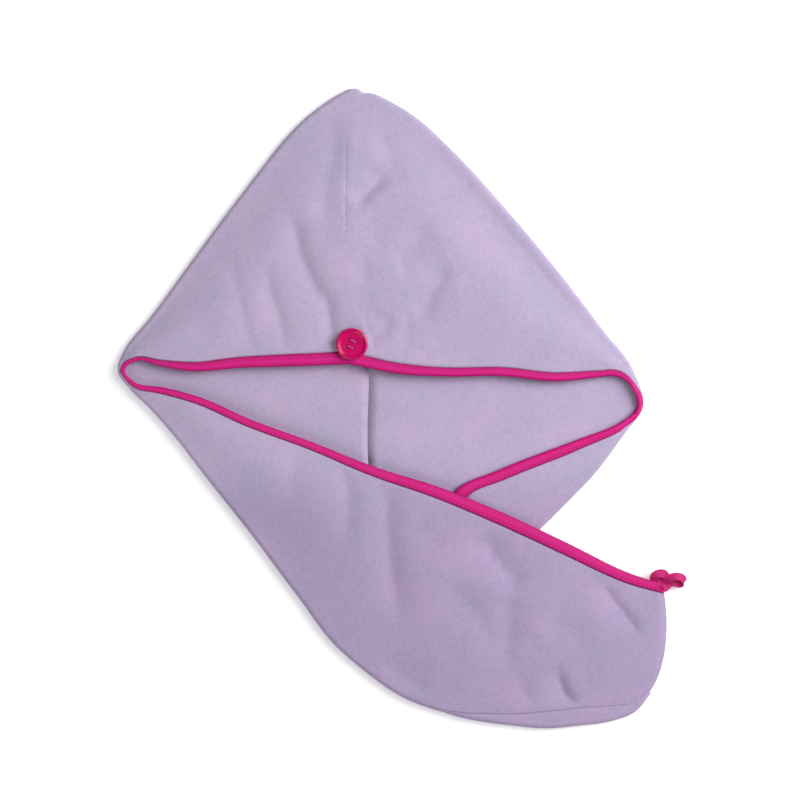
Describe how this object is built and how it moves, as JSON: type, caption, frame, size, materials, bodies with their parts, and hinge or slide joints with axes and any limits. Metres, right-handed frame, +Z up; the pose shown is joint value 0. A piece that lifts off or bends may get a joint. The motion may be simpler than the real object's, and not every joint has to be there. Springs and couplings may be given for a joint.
{
  "type": "hair turban towel",
  "caption": "Soft fleece hood with a long tapering tail, a bound opening edge, a button at the nape and an elastic loop at the tail's tip, lying folded flat.",
  "frame": {"origin": "on the resting plane under the middle of the whole towel", "axes": "+Z up from the surface it lies on, +Y from the tail's lower edge towards the crown, +X to the right, seen from above"},
  "size_m": [0.4438, 0.4988, 0.0161],
  "materials": {
    "fleece": "soft lilac fleece pile",
    "tape": "pink satin tape",
    "button_plastic": "glossy pink",
    "thread": "light pink thread",
    "elastic": "pink ribbed elastic"
  },
  "bodies": {
    "root": {"panel_left": "fleece", "panel_right": "fleece", "binding": "tape", "button": "button_plastic", "button_thread": "thread", "tail_loop": "elastic"}
  },
  "joints": []
}
